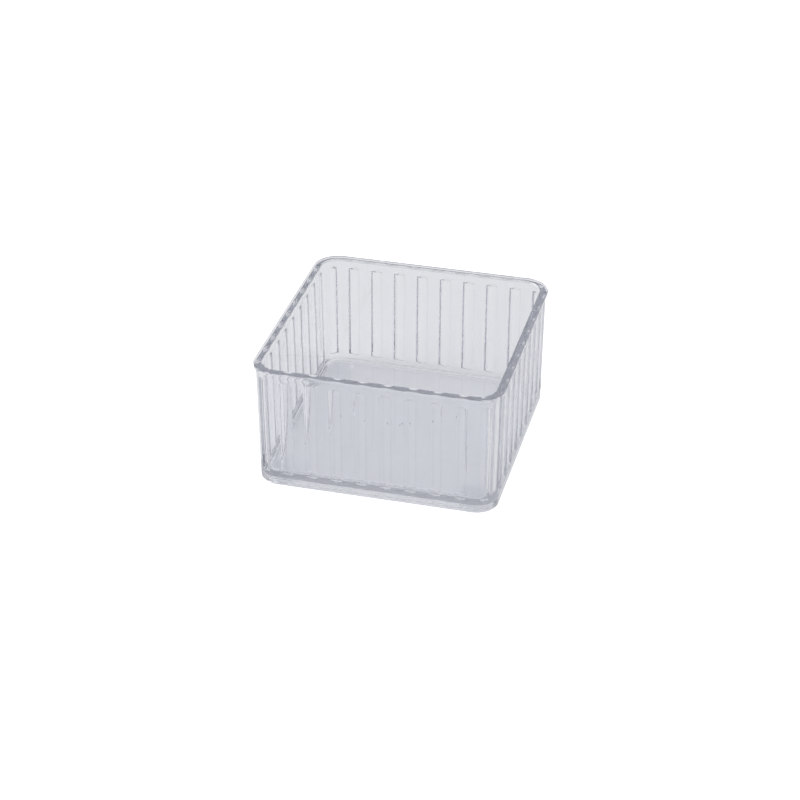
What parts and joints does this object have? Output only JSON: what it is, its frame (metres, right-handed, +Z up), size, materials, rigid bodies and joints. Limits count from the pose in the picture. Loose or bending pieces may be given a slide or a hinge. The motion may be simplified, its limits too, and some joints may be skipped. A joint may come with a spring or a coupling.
{
  "type": "drawer organizer bin",
  "caption": "Clear open-top square bin with a fluted wall, smooth inside, rim lip and soft stick-on pads, for sorting small things in a drawer.",
  "frame": {"origin": "middle of the bin's outline, on the plane that the pads stand on", "axes": "+Z up out of the open mouth, +Y from the front wall to the back wall, which is the slightly longer way, +X to the right"},
  "size_m": [0.1, 0.1022, 0.0525],
  "materials": {
    "clear_plastic": "clear, faintly blue, polished moulding",
    "pad_rubber": "soft translucent, satin",
    "adhesive_film": "clear double-sided film"
  },
  "bodies": {
    "root": {"bin_body": "clear_plastic", "foot_pad_front_left": "pad_rubber", "foot_pad_front_right": "pad_rubber", "foot_pad_rear_left": "pad_rubber", "foot_pad_rear_right": "pad_rubber", "pad_adhesive_front_left": "adhesive_film", "pad_adhesive_front_right": "adhesive_film", "pad_adhesive_rear_left": "adhesive_film", "pad_adhesive_rear_right": "adhesive_film"}
  },
  "joints": []
}
